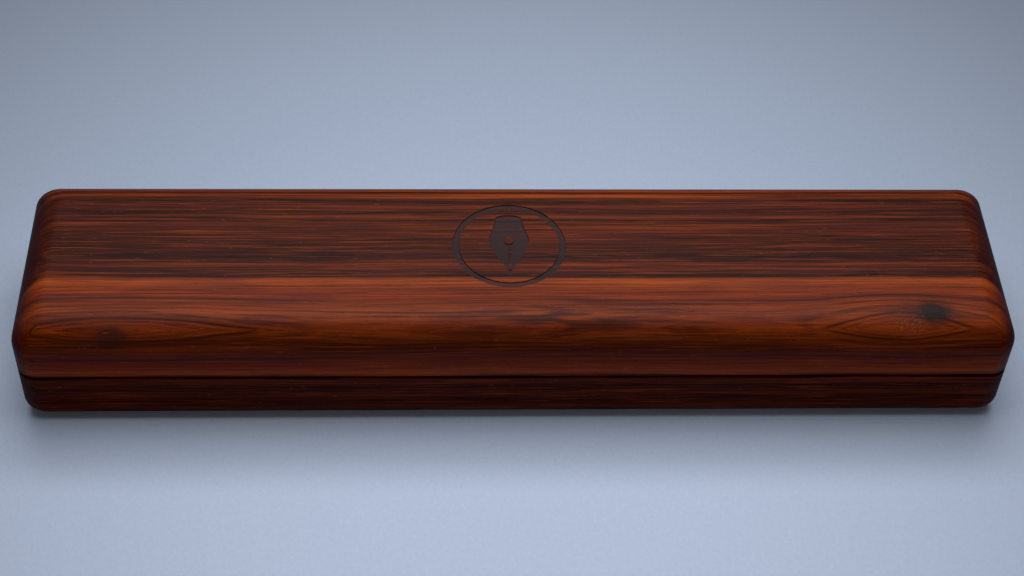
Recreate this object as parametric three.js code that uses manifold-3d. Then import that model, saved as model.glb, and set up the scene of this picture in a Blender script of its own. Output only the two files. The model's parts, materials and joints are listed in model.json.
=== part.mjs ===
// A hinged hardwood case for one fountain pen.
//
// Two blocks of figured rosewood, each about half an inch thick, are routed out and rounded over on
// the outside. They meet at a seam half way up. Two small brass butt hinges lie in mortises in the
// rear rims, with their barrels in a V-shaped groove that also stops the lid, and two pairs of disc
// magnets hold the front shut. Inside, a velvet-covered foam bed with a groove holds the pen from
// below, and a thin velvet-covered pad holds it from above. Each lies on a glued-in board.
//
// Millimetres. X runs along the case, Y from front to back, Z up. The origin is the centre of the
// underside.

import * as THREE from "three";
import { mergeVertices } from "three/addons/utils/BufferGeometryUtils.js";
import Module from "manifold-3d";

const wasm = await Module();
wasm.setup();

// ---- Driving dimensions -------------------------------------------------------------------------

const CASE_LENGTH = 190;
const CASE_WIDTH = 41.5;
const BASE_HEIGHT = 12.5; // underside to the seam plane
const LID_HEIGHT = 13.1; // seam plane to the top
const SEAM_GAP = 0.3; // between the two rims
const UPRIGHT_CORNER = 3.8; // radius of the four upright edges
const TIGHTEST_CORNER = 1.2; // where a roundover takes most of an upright edge away
const TOP_ROUND = 6.4; // roundover along the lid's top edges
const BOTTOM_ROUND = 4.2; // roundover along the underside's edges
const RIM_EASE = 0.4; // sanded edge along each rim

const FRONT_WALL = 6.6;
const REAR_WALL = 9.6; // thick enough for the hinge leaves
const END_WALL = 8.5;
const FLOOR = 3.0;
const ROOF = 3.2;
const RECESS_CORNER = 6;

const HINGE_X = 62; // from the middle of the case to the middle of each hinge
const HINGE_LENGTH = 22;
const BARREL_RADIUS = 1.7;
const PIN_RADIUS = 0.8;
const LEAF_THICKNESS = 0.9;
const LEAF_REACH = 6.4; // from the pin's axis to the leaf's front edge
const KNUCKLES = 5;
const HINGE_Y = CASE_WIDTH / 2 - 1.9;
const OPENING_ANGLE = 102; // between the two rear bevels, two degrees more than the lid turns
const BEVEL_SETBACK = 0.25; // the bevels start this far in front of the pin's axis

const SCREW_SHANK_RADIUS = 0.75;
const SCREW_HEAD_RADIUS = 1.4;
const SCREW_LENGTH = 7;
const SCREW_SPACING = 14;
const SCREW_Y = -4.0; // from the pin's axis

const MAGNET_RADIUS = 2;
const MAGNET_HEIGHT = 3;
const MAGNET_X = 70;
const MAGNET_Y = -(CASE_WIDTH / 2 - 3.4);

const GROOVE_RADIUS = 7; // for a pen up to about 14 mm thick
const GROOVE_FLOOR = 6.1;
const GROOVE_LENGTH = 160;
const BED_TOP = 10.3;
const PAD_FACE = 6.2; // from the seam plane up to the velvet of the lid's pad
const BOARD_THICKNESS = 1;
const VELVET_THICKNESS = 0.7;

const FIT = 0.2; // between pieces that are glued or screwed together
const LOOSE_FIT = 0.3; // between a liner and the recess around it
const CUT_MARGIN = 5; // how far a cutter reaches past the face that it opens

const RIM = SEAM_GAP / 2; // each rim stands this far from the seam plane
const RECESS_WIDTH = CASE_WIDTH - FRONT_WALL - REAR_WALL;
const RECESS_LENGTH = CASE_LENGTH - 2 * END_WALL;
const RECESS_Y = (FRONT_WALL - REAR_WALL) / 2;
const LINER_WIDTH = RECESS_WIDTH - 2 * LOOSE_FIT;
const LINER_LENGTH = RECESS_LENGTH - 2 * LOOSE_FIT;
const WRAP = VELVET_THICKNESS + FIT; // from the outside of the velvet to the foam

// ---- Materials ----------------------------------------------------------------------------------

const rosewood = new THREE.MeshStandardMaterial({ color: 0x6b2a14, roughness: 0.45, metalness: 0 });
const brass = new THREE.MeshStandardMaterial({ color: 0xb08a48, roughness: 0.35, metalness: 1 });
const nickel = new THREE.MeshStandardMaterial({ color: 0xb9b9b4, roughness: 0.3, metalness: 1 });
const velvet = new THREE.MeshStandardMaterial({ color: 0x17181c, roughness: 0.95, metalness: 0 });
const foam = new THREE.MeshStandardMaterial({ color: 0x4a4a4c, roughness: 0.9, metalness: 0 });
const card = new THREE.MeshStandardMaterial({ color: 0x8d7b62, roughness: 0.85, metalness: 0 });

// ---- Solids -------------------------------------------------------------------------------------

// A closed geometry as a solid that can be joined and cut.
function solidOf(geometry) {
  const bare = geometry.clone();
  bare.deleteAttribute("normal");
  bare.deleteAttribute("uv");
  const merged = mergeVertices(bare, 1e-4);
  return new wasm.Manifold(
    new wasm.Mesh({
      numProp: 3,
      vertProperties: new Float32Array(merged.attributes.position.array),
      triVerts: new Uint32Array(merged.index.array),
    }),
  );
}

// A solid back as a geometry with flat faces.
function geometryOf(solid) {
  const mesh = solid.getMesh();
  const indexed = new THREE.BufferGeometry()
    .setAttribute("position", new THREE.BufferAttribute(new Float32Array(mesh.vertProperties), 3))
    .setIndex(new THREE.BufferAttribute(new Uint32Array(mesh.triVerts), 1));
  const flat = indexed.toNonIndexed();
  flat.computeVertexNormals();
  return flat;
}

const joined = (...geometries) =>
  geometryOf(geometries.map(solidOf).reduce((whole, piece) => whole.add(piece)));

const cut = (geometry, ...cutters) =>
  geometryOf(cutters.map(solidOf).reduce((rest, cutter) => rest.subtract(cutter), solidOf(geometry)));

// A rectangle with rounded corners, centred on (0, centreY).
function roundedRectangle(length, width, radius, centreY = 0) {
  const x = length / 2 - radius;
  const y = width / 2 - radius;
  const quarter = Math.PI / 2;
  return new THREE.Shape()
    .absarc(x, centreY - y, radius, -quarter, 0)
    .absarc(x, centreY + y, radius, 0, quarter)
    .absarc(-x, centreY + y, radius, quarter, 2 * quarter)
    .absarc(-x, centreY - y, radius, 2 * quarter, 3 * quarter)
    .closePath();
}

// A flat-ended block with that outline, from one height to another.
function block(outline, bottom, top, curveSegments = 5) {
  const options = { depth: top - bottom, bevelEnabled: false, curveSegments };
  return new THREE.ExtrudeGeometry(outline, options).translate(0, 0, bottom);
}

// A disc or shaft along Z.
const uprightCylinder = (radius, bottom, top, segments = 20) =>
  new THREE.CylinderGeometry(radius, radius, top - bottom, segments)
    .rotateX(Math.PI / 2)
    .translate(0, 0, (bottom + top) / 2);

// A shaft along X, from one x to another.
const lengthwiseCylinder = (radius, from, to, segments = 20) =>
  new THREE.CylinderGeometry(radius, radius, to - from, segments)
    .rotateZ(Math.PI / 2)
    .translate((from + to) / 2, 0, 0);

const box = (x0, x1, y0, y1, z0, z1) =>
  new THREE.BoxGeometry(x1 - x0, y1 - y0, z1 - z0).translate(
    (x0 + x1) / 2,
    (y0 + y1) / 2,
    (z0 + z1) / 2,
  );

// The skin through a stack of outlines with equally many points, closed at both ends.
function lofted(levels) {
  const positions = [];
  const faces = [];
  const count = levels[0].points.length;
  for (const { z, points } of levels) for (const p of points) positions.push(p.x, p.y, z);
  for (let level = 0; level + 1 < levels.length; level++) {
    for (let i = 0; i < count; i++) {
      const low = level * count + i;
      const lowNext = level * count + ((i + 1) % count);
      faces.push(low, lowNext, lowNext + count, low, lowNext + count, low + count);
    }
  }
  const topLevel = (levels.length - 1) * count;
  const bottomCentre = positions.length / 3;
  positions.push(0, 0, levels[0].z, 0, 0, levels.at(-1).z);
  for (let i = 0; i < count; i++) {
    const next = (i + 1) % count;
    faces.push(bottomCentre, next, i, bottomCentre + 1, topLevel + i, topLevel + next);
  }
  return new THREE.BufferGeometry()
    .setAttribute("position", new THREE.Float32BufferAttribute(positions, 3))
    .setIndex(faces);
}

// ---- Wooden halves ------------------------------------------------------------------------------

const ROUND_STEPS = 7;

// The case's outline in plan where its sides have come in by that much.
function planAt(inset) {
  const radius = Math.max(UPRIGHT_CORNER - inset, TIGHTEST_CORNER);
  const outline = roundedRectangle(CASE_LENGTH - 2 * inset, CASE_WIDTH - 2 * inset, radius);
  return outline.getPoints(3).slice(0, -1);
}

const levelAt = ([z, inset]) => ({ z, points: planAt(inset) });

// Heights and insets round a quarter circle, from upright to flat.
const quarterRound = (radius) =>
  Array.from({ length: ROUND_STEPS + 1 }, (_, i) => {
    const angle = ((i / ROUND_STEPS) * Math.PI) / 2;
    return [radius * Math.sin(angle), radius * (1 - Math.cos(angle))];
  });

// The wedge that bevels a rear rim. It opens the groove for the hinge barrels and stops the lid.
function rearBevel() {
  const slope = Math.tan((OPENING_ANGLE / 2) * (Math.PI / 180));
  const start = HINGE_Y - BEVEL_SETBACK;
  const end = CASE_WIDTH / 2 + CUT_MARGIN;
  const triangle = new THREE.Shape([
    new THREE.Vector2(start, 0),
    new THREE.Vector2(end, -(end - start) * slope),
    new THREE.Vector2(end, (end - start) * slope),
  ]);
  const length = CASE_LENGTH + 2 * CUT_MARGIN;
  // The triangle's own x and y become the case's Y and Z.
  return new THREE.ExtrudeGeometry(triangle, { depth: length, bevelEnabled: false })
    .translate(0, 0, -length / 2)
    .applyMatrix4(new THREE.Matrix4().set(0, 0, 1, 0, 1, 0, 0, 0, 0, 1, 0, 0, 0, 0, 0, 1));
}

// Everything cut into a rim, with the seam plane at height 0. side is -1 for the base, whose wood
// lies below the seam, and 1 for the lid.
function rimCutters(side) {
  const between = (a, b) => [Math.min(a * side, b * side), Math.max(a * side, b * side)];
  const cutters = [rearBevel()];
  for (const x of [-HINGE_X, HINGE_X]) {
    const half = HINGE_LENGTH / 2 + LOOSE_FIT;
    const barrelHalf = HINGE_LENGTH / 2 + 2 * LOOSE_FIT;
    const mortise = between(-CUT_MARGIN, RIM + LEAF_THICKNESS + FIT);
    cutters.push(
      box(x - half, x + half, HINGE_Y - LEAF_REACH - FIT, HINGE_Y, ...mortise),
      lengthwiseCylinder(BARREL_RADIUS + LOOSE_FIT, x - barrelHalf, x + barrelHalf).translate(0, HINGE_Y, 0),
    );
    for (const dx of [-SCREW_SPACING / 2, SCREW_SPACING / 2]) {
      const pilot = uprightCylinder(SCREW_SHANK_RADIUS + FIT, ...between(0, RIM + SCREW_LENGTH + FIT), 12);
      cutters.push(pilot.translate(x + dx, HINGE_Y + SCREW_Y, 0));
    }
  }
  for (const x of [-MAGNET_X, MAGNET_X]) {
    const pocket = uprightCylinder(MAGNET_RADIUS + FIT, ...between(-1, RIM + MAGNET_HEIGHT + 2 * FIT));
    cutters.push(pocket.translate(x, MAGNET_Y, 0));
  }
  return cutters;
}

const recess = (bottom, top) =>
  block(roundedRectangle(RECESS_LENGTH, RECESS_WIDTH, RECESS_CORNER, RECESS_Y), bottom, top);

// The lower half, with the underside at height 0.
function baseShell() {
  const rim = BASE_HEIGHT - RIM;
  const rounded = quarterRound(BOTTOM_ROUND)
    .reverse()
    .map(([rise, inset]) => [BOTTOM_ROUND - rise, inset]);
  const profile = [...rounded, [rim - RIM_EASE, 0], [rim, RIM_EASE]];
  const cutters = rimCutters(-1).map((cutter) => cutter.translate(0, 0, BASE_HEIGHT));
  return cut(lofted(profile.map(levelAt)), recess(FLOOR, BASE_HEIGHT + CUT_MARGIN), ...cutters);
}

// The upper half, with the seam plane at height 0.
function lidShell() {
  const start = LID_HEIGHT - TOP_ROUND;
  const rounded = quarterRound(TOP_ROUND).map(([rise, inset]) => [start + rise, inset]);
  const profile = [[RIM, RIM_EASE], [RIM + RIM_EASE, 0], ...rounded];
  return cut(lofted(profile.map(levelAt)), recess(-CUT_MARGIN, LID_HEIGHT - ROOF), ...rimCutters(1));
}

// ---- Hinges -------------------------------------------------------------------------------------

const knuckleLength = HINGE_LENGTH / KNUCKLES;
const knuckleStart = (i) => -HINGE_LENGTH / 2 + i * knuckleLength;

// A leaf below the pin's axis, which is the X axis. The leaf has every second knuckle.
function hingeLeaf(firstKnuckle) {
  const half = HINGE_LENGTH / 2;
  const plate = box(-half, half, -LEAF_REACH, 0, -RIM - LEAF_THICKNESS, -RIM);
  const own = [];
  const others = [];
  for (let i = 0; i < KNUCKLES; i++) {
    const from = knuckleStart(i);
    const to = from + knuckleLength;
    if (i % 2 === firstKnuckle) {
      const trimmedFrom = i === 0 ? from : from + FIT / 2;
      const trimmedTo = i === KNUCKLES - 1 ? to : to - FIT / 2;
      own.push(lengthwiseCylinder(BARREL_RADIUS, trimmedFrom, trimmedTo));
    } else {
      const room = lengthwiseCylinder(BARREL_RADIUS + LOOSE_FIT, from - FIT / 2, to + FIT / 2);
      const clearAhead = box(from - FIT / 2, to + FIT / 2, -1, CUT_MARGIN, -CUT_MARGIN, CUT_MARGIN);
      others.push(room, clearAhead);
    }
  }
  const bore = lengthwiseCylinder(PIN_RADIUS + FIT, -half - 1, half + 1, 16);
  const holes = [-SCREW_SPACING / 2, SCREW_SPACING / 2].map((x) => countersink().translate(x, SCREW_Y, -RIM));
  return cut(cut(joined(cut(plate, ...others), ...own), bore), ...holes);
}

// A countersunk hole with its mouth at height 0.
function countersink() {
  const mouth = SCREW_HEAD_RADIUS + FIT;
  const throat = SCREW_SHANK_RADIUS + FIT;
  const profile = [
    [0, 1],
    [mouth, 1],
    [mouth, -0.05],
    [throat, -(mouth - throat) - 0.05],
    [throat, -2],
    [0, -2],
  ];
  return turned(profile.reverse(), 16);
}

// A solid turned about Z from [radius, height] points, listed from the bottom up.
const turned = (profile, segments) =>
  new THREE.LatheGeometry(
    profile.map(([radius, height]) => new THREE.Vector2(radius, height)),
    segments,
  ).rotateX(Math.PI / 2);

// A slotted countersunk wood screw that points down, with the top of its head at height 0.
function woodScrew() {
  const cone = SCREW_HEAD_RADIUS - SCREW_SHANK_RADIUS;
  const profile = [
    [0, -SCREW_LENGTH],
    [SCREW_SHANK_RADIUS * 0.6, -SCREW_LENGTH + 1],
    [SCREW_SHANK_RADIUS, -SCREW_LENGTH + 2.4],
    [SCREW_SHANK_RADIUS, -cone - 0.08],
    [SCREW_HEAD_RADIUS, -0.08],
    [SCREW_HEAD_RADIUS, 0],
    [0, 0],
  ];
  const slot = box(-2, 2, -0.2, 0.2, -0.35, 1);
  return cut(turned(profile, 16), slot);
}

// ---- Liners -------------------------------------------------------------------------------------

const linerOutline = (shrink) =>
  roundedRectangle(
    LINER_LENGTH - 2 * shrink,
    LINER_WIDTH - 2 * shrink,
    RECESS_CORNER - LOOSE_FIT - shrink,
    RECESS_Y,
  );

// The room that a pen takes in the bed, with round ends.
const penRoom = (clearance) =>
  new THREE.CapsuleGeometry(GROOVE_RADIUS + clearance, GROOVE_LENGTH - 2 * GROOVE_RADIUS, 5, 24)
    .rotateZ(Math.PI / 2)
    .translate(0, RECESS_Y, GROOVE_FLOOR + GROOVE_RADIUS);

const bedBottom = FLOOR + FIT + BOARD_THICKNESS + FIT;
const bedFoam = () => cut(block(linerOutline(WRAP), bedBottom, BED_TOP - WRAP), penRoom(WRAP));

// The velvet lies over the top and sides of the foam and down into the groove.
function bedVelvet() {
  const skin = cut(block(linerOutline(0), bedBottom, BED_TOP), penRoom(0));
  const core = cut(
    block(linerOutline(VELVET_THICKNESS), bedBottom - 1, BED_TOP - VELVET_THICKNESS),
    penRoom(VELVET_THICKNESS),
  );
  return cut(skin, core);
}

const padTop = LID_HEIGHT - ROOF - FIT - BOARD_THICKNESS - FIT;
const padFoam = () => block(linerOutline(WRAP), PAD_FACE + WRAP, padTop);

function padVelvet() {
  const skin = block(linerOutline(0), PAD_FACE, padTop);
  return cut(skin, block(linerOutline(VELVET_THICKNESS), PAD_FACE + VELVET_THICKNESS, padTop + 1));
}

// ---- Assembly -----------------------------------------------------------------------------------

function piece(name, geometry, material, [x, y, z] = [0, 0, 0]) {
  const mesh = new THREE.Mesh(geometry, material);
  mesh.name = name;
  mesh.position.set(x, y, z);
  return mesh;
}

const penCase = new THREE.Group();

const base = new THREE.Group();
base.add(
  piece("base_shell", baseShell(), rosewood),
  piece("base_board", block(linerOutline(0), FLOOR + FIT, FLOOR + FIT + BOARD_THICKNESS), card),
  piece("pen_bed_foam", bedFoam(), foam),
  piece("pen_bed_velvet", bedVelvet(), velvet),
);

const lid = new THREE.Group();
lid.position.z = BASE_HEIGHT;
lid.add(
  piece("lid_shell", lidShell(), rosewood),
  piece("lid_board", block(linerOutline(0), padTop + FIT, padTop + FIT + BOARD_THICKNESS), card),
  piece("lid_pad_foam", padFoam(), foam),
  piece("lid_pad_velvet", padVelvet(), velvet),
);

// Everything in a hinge is placed from the middle of its pin.
function hinge(side, x) {
  const group = new THREE.Group();
  group.position.set(x, HINGE_Y, BASE_HEIGHT);
  const half = HINGE_LENGTH / 2;
  group.add(
    piece(`hinge_${side}_base_leaf`, hingeLeaf(0), brass),
    piece(`hinge_${side}_lid_leaf`, hingeLeaf(1).rotateY(Math.PI), brass),
    piece(`hinge_${side}_pin`, lengthwiseCylinder(PIN_RADIUS, -half, half, 16), brass),
  );
  for (const [number, dx] of [-SCREW_SPACING / 2, SCREW_SPACING / 2].entries()) {
    const low = piece(`hinge_${side}_base_screw_${number + 1}`, woodScrew(), brass, [dx, SCREW_Y, -RIM]);
    const high = piece(`hinge_${side}_lid_screw_${number + 1}`, woodScrew(), brass, [dx, SCREW_Y, RIM]);
    high.rotation.x = Math.PI;
    group.add(low, high);
  }
  return group;
}

function magnetPair(side, x) {
  const pair = new THREE.Group();
  pair.position.set(x, MAGNET_Y, BASE_HEIGHT);
  const face = RIM + FIT;
  const low = uprightCylinder(MAGNET_RADIUS, -face - MAGNET_HEIGHT, -face);
  const high = uprightCylinder(MAGNET_RADIUS, face, face + MAGNET_HEIGHT);
  pair.add(piece(`magnet_${side}_base`, low, nickel), piece(`magnet_${side}_lid`, high, nickel));
  return pair;
}

penCase.add(
  base,
  lid,
  hinge("left", -HINGE_X),
  hinge("right", HINGE_X),
  magnetPair("left", -MAGNET_X),
  magnetPair("right", MAGNET_X),
);

export default penCase;
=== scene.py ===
# %% [markdown]
# # A hinged rosewood case for one fountain pen
# The case is two routed blocks of rosewood, joined by a pair of small brass butt hinges. A bed of
# velvet over foam holds the pen from below, a thin pad holds it from above, and disc magnets keep
# the front shut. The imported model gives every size. This lesson makes the surfaces that are seen:
# wood with real roundovers and growth rings, soft velvet, and small parts of brass and nickel.

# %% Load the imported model
import json
import math

import bmesh
import bpy
from mathutils import Matrix, Vector

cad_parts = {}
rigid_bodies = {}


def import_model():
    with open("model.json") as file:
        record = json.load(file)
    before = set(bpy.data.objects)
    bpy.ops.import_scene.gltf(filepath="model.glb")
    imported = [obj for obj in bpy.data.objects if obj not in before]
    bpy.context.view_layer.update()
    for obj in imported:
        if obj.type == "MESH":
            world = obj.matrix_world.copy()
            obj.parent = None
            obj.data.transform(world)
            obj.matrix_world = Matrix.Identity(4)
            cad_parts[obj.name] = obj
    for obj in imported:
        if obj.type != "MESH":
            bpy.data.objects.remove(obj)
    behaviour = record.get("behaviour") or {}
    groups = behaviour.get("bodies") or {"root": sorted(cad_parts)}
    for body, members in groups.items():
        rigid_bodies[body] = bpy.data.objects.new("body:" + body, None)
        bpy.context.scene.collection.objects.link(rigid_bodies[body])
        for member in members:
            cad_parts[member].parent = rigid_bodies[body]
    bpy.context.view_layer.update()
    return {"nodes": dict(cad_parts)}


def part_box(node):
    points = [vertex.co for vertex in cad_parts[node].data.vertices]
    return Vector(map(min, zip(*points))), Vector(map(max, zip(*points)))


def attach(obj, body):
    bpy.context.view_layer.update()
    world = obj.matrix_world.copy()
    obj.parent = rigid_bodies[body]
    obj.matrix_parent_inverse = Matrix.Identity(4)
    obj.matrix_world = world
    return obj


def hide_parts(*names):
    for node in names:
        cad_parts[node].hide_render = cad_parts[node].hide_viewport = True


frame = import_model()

MM = 0.001

# %% [markdown]
# ## Names for the main places
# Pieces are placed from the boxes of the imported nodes, so the lesson first reads the few planes
# that everything else refers to: the outside faces, the two rims at the seam, and the recess.

# %% Read the planes of the case
base_low, base_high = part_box("base_shell")
lid_low, lid_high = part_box("lid_shell")
LENGTH = base_high.x - base_low.x
WIDTH = base_high.y - base_low.y
TOP = lid_high.z
BASE_RIM = base_high.z
LID_RIM = lid_low.z
SEAM = (BASE_RIM + LID_RIM) / 2
pin_low, pin_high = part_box("hinge_left_pin")
PIN_Y = (pin_low.y + pin_high.y) / 2
print("length, width, height in mm:", [round(side / MM, 2) for side in (LENGTH, WIDTH, TOP)])


def plan_middle(node):
    """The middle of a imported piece, seen from above."""
    low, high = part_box(node)
    return (low.x + high.x) / 2, (low.y + high.y) / 2


def half_sizes(node):
    """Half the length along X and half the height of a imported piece."""
    low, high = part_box(node)
    return (high.x - low.x) / 2, (high.z - low.z) / 2


# %% [markdown]
# ## The camera
# A small case shows its shape best from above its front edge, through a short telephoto lens.
# The camera looks at the middle of the case from a distance, with a slight turn and a slight tilt,
# as a camera held by hand has. An empty would do for aiming; here the turn is worked out as a
# matrix, because three angles then say everything.

# %% Make the camera
CAMERA_ELEVATION = math.radians(47.6)
CAMERA_TURN = math.radians(3.75)
CAMERA_TILT = math.radians(2.7)
CAMERA_DISTANCE = 380.8 * MM
CAMERA_LENS = 67.2
NEAREST_SEEN = 10 * MM
LOOKED_AT = Vector((-0.4, 2.8, 12)) * MM


def make_camera():
    data = bpy.data.cameras.new("camera")
    data.lens = CAMERA_LENS
    data.clip_start = NEAREST_SEEN
    camera = bpy.data.objects.new("camera", data)
    lifted = Matrix.Rotation(math.pi / 2 - CAMERA_ELEVATION, 4, "X")
    turn = Matrix.Rotation(-CAMERA_TURN, 4, "Z") @ lifted
    tilt = Matrix.Rotation(CAMERA_TILT, 4, "Z")
    away = turn @ Vector((0, 0, CAMERA_DISTANCE))
    camera.matrix_world = Matrix.Translation(LOOKED_AT + away) @ turn @ tilt
    bpy.context.collection.objects.link(camera)
    bpy.context.scene.camera = camera
    return camera


camera = make_camera()
print("camera at", [round(x, 3) for x in camera.matrix_world.translation])

# %% [markdown]
# ## Writing node trees as sums
# A material or a geometry tree is a graph, and graphs made node by node are hard to read. One
# small class wraps an output socket, so that `1 - mask * 0.5` adds the Math nodes by itself. A
# second class wraps the tree and has one method for every other kind of node.


# %% Wrap sockets and trees
class Socket:
    """One output of a node. Sums on it add Math nodes to its tree."""

    def __init__(self, tree, output):
        self.tree = tree
        self.output = output

    def __add__(self, other):
        return self.tree.maths("ADD", self, other)

    def __radd__(self, other):
        return self.tree.maths("ADD", other, self)

    def __sub__(self, other):
        return self.tree.maths("SUBTRACT", self, other)

    def __rsub__(self, other):
        return self.tree.maths("SUBTRACT", other, self)

    def __mul__(self, other):
        return self.tree.maths("MULTIPLY", self, other)

    def __rmul__(self, other):
        return self.tree.maths("MULTIPLY", other, self)

    def __truediv__(self, other):
        return self.tree.maths("DIVIDE", self, other)

    def __rtruediv__(self, other):
        return self.tree.maths("DIVIDE", other, self)

    def __neg__(self):
        return self.tree.maths("MULTIPLY", self, -1)

    def __abs__(self):
        return self.tree.maths("ABSOLUTE", self)


class Tree:
    """A node tree, with one method that adds any node."""

    def __init__(self, tree):
        self.tree = tree

    def add(self, kind, settings=None, sockets=None, out=0):
        """Adds a node. Settings are set first, then each socket gets its value or its link."""
        node = self.tree.nodes.new(kind)
        for name, value in (settings or {}).items():
            if name == "stops":
                set_stops(node.color_ramp, value)
            else:
                setattr(node, name, value)
        for name, value in (sockets or {}).items():
            if isinstance(value, Socket):
                self.tree.links.new(value.output, node.inputs[name])
            else:
                node.inputs[name].default_value = value
        return Socket(self, node.outputs[out]) if len(node.outputs) else node

    def maths(self, operation, *values):
        return self.add("ShaderNodeMath", {"operation": operation}, dict(enumerate(values)))

    def smooth(self, value, start, end, low=0.0, high=1.0):
        """A value that turns smoothly from low to high between start and end."""
        settings = {"interpolation_type": "SMOOTHSTEP"}
        return self.add("ShaderNodeMapRange", settings, dict(enumerate((value, start, end, low, high))))

    def vector(self, x, y, z):
        return self.add("ShaderNodeCombineXYZ", None, dict(enumerate((x, y, z))))

    def parts(self, vector):
        return [self.add("ShaderNodeSeparateXYZ", None, {0: vector}, out) for out in range(3)]

    def mixed(self, share, one, other):
        """A colour between two colours."""
        settings = {"data_type": "RGBA"}
        return self.add("ShaderNodeMix", settings, {0: share, 6: one, 7: other}, 2)


def set_stops(ramp, stops):
    """Gives a colour ramp its (place, colour) stops."""
    while len(ramp.elements) > 1:
        ramp.elements.remove(ramp.elements[-1])
    for number, (place, colour) in enumerate(stops):
        stop = ramp.elements[0] if number == 0 else ramp.elements.new(place)
        stop.position = place
        stop.color = (*colour, 1)


# %% [markdown]
# ## A material starts as a shader with even values
# What is the same all over a piece is set on the shader's own sockets. Only what varies is linked.
# Coordinates come from the object, in millimetres, so that a pattern has the size of the real one.


# %% Start a material
class Finish(Tree):
    """A new material with a Principled shader, and coordinates in millimetres."""

    def __init__(self, name, **even):
        self.material = bpy.data.materials.new(name)
        self.material.use_nodes = True
        super().__init__(self.material.node_tree)
        self.shader = self.tree.nodes["Principled BSDF"]
        for socket, value in even.items():
            self.shader.inputs[socket.replace("_", " ")].default_value = value
        self.coordinates = self.tree.nodes.new("ShaderNodeTexCoord")

    def place(self, scale=(1, 1, 1)):
        """Object coordinates in millimetres, squeezed by a scale along each axis."""
        settings = {"vector_type": "POINT"}
        scales = tuple(s / MM for s in scale)
        own = Socket(self, self.coordinates.outputs["Object"])
        return self.add("ShaderNodeMapping", settings, {"Vector": own, "Scale": scales})

    def normal(self):
        return Socket(self, self.coordinates.outputs["Normal"])

    def noise(self, vector, scale=1.0, detail=2.0, roughness=0.5):
        """Soft noise from 0 to 1, with a feature about every 1 / scale."""
        sockets = {"Vector": vector, "Scale": scale, "Detail": detail, "Roughness": roughness}
        return self.add("ShaderNodeTexNoise", None, sockets)

    def sends(self, **varying):
        for socket, value in varying.items():
            self.tree.links.new(value.output, self.shader.inputs[socket.replace("_", " ")])

    def bumps(self, height, distance, strength=1.0):
        """Sends a height from 0 to 1, as bumps that many millimetres deep."""
        sockets = {"Height": height, "Distance": distance * MM, "Strength": strength}
        self.sends(Normal=self.add("ShaderNodeBump", None, sockets))


# %% [markdown]
# ## The room
# A pale blue-grey table and one large soft lamp, overhead and a little behind the case. That puts
# a broad satin sheen on the top, leaves the front face in quiet shade, and lays a short soft
# shadow in front.

# %% Make the table and the lamps
def rising(degrees):
    """How far back and how high a direction points that rises by an angle."""
    return math.cos(math.radians(degrees)), math.sin(math.radians(degrees))


TABLE_HALF_SIDE = 3
PALE_TABLE = ((0.33, 0.395, 0.525, 1), (0.47, 0.555, 0.72, 1))
# The table's colour far from the case, where painted light falloff darkens it.
TABLE_PAINTED_FALLOFF = (0.13, 0.155, 0.20, 1)
ROOM_COLOUR = (0.75, 0.85, 1, 1)
ROOM_STRENGTH = 0.10
BLACK_LEVEL = 0.0040
# Each lamp: its direction, distance, size, power and colour.
LAMPS = {
    "soft lamp": ((0.02, *rising(79)), 0.42, (0.42, 0.38), 1.95, (1, 1, 1)),
    "sheen lamp": ((0, *rising(60)), 0.5, (0.5, 0.12), 0.42, (1, 1, 1)),
    "front fill": ((0, -1, 0.35), 0.6, (0.6, 0.3), 0.72, (1, 0.82, 0.62)),
}


def make_table():
    finish = Finish("table top", Roughness=0.7)
    grain = finish.noise(finish.place(), 1.6, 4)
    x, y, _ = finish.parts(finish.place((0.01, 0.01, 0.01)))
    # Painted light falloff: the table's colour darkens away from a spot just in front of the case, as if
    # a pool of light lay there.
    away = finish.maths("SQRT", x * x + (y + 0.55) * (y + 0.55))
    shade = finish.smooth(away, 0.2, 2.6, 0.0, 1.0)
    speckle = finish.noise(finish.place(), 0.9, 6, 0.8)
    pale = finish.mixed(grain * 0.4 + speckle * 0.6, *PALE_TABLE)
    finish.sends(Base_Color=finish.mixed(shade, pale, TABLE_PAINTED_FALLOFF))
    finish.bumps(grain, 0.05)
    mesh = bpy.data.meshes.new("table")
    side = TABLE_HALF_SIDE
    corners = [(-side, -side, 0), (side, -side, 0), (side, side, 0), (-side, side, 0)]
    mesh.from_pydata(corners, [], [(0, 1, 2, 3)])
    mesh.materials.append(finish.material)
    table = bpy.data.objects.new("table", mesh)
    bpy.context.collection.objects.link(table)


def make_lamp(name, direction, distance, size, power, colour):
    data = bpy.data.lights.new(name, "AREA")
    data.shape = "RECTANGLE"
    data.size, data.size_y = size
    data.energy = power
    data.color = colour
    lamp = bpy.data.objects.new(name, data)
    direction = Vector(direction).normalized()
    turn = direction.to_track_quat("Z", "Y").to_matrix().to_4x4()
    lamp.matrix_world = Matrix.Translation(direction * distance) @ turn
    bpy.context.collection.objects.link(lamp)


def make_world():
    world = bpy.data.worlds.new("room")
    world.use_nodes = True
    background = world.node_tree.nodes["Background"]
    background.inputs["Color"].default_value = ROOM_COLOUR
    background.inputs["Strength"].default_value = ROOM_STRENGTH
    bpy.context.scene.world = world


make_table()
for name, lamp in LAMPS.items():
    make_lamp(name, *lamp)
make_world()
view = bpy.context.scene.view_settings
view.view_transform = "Standard"
view.use_curve_mapping = True
view.curve_mapping.black_level = (BLACK_LEVEL, BLACK_LEVEL, BLACK_LEVEL)
view.curve_mapping.update()
print("lamps:", len(bpy.data.lights))

# %% [markdown]
# ## One call for every finished piece
# A piece needs its material, a body to ride on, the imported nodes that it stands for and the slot
# of its finish. One function says all of it, so that no piece is forgotten.


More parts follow.
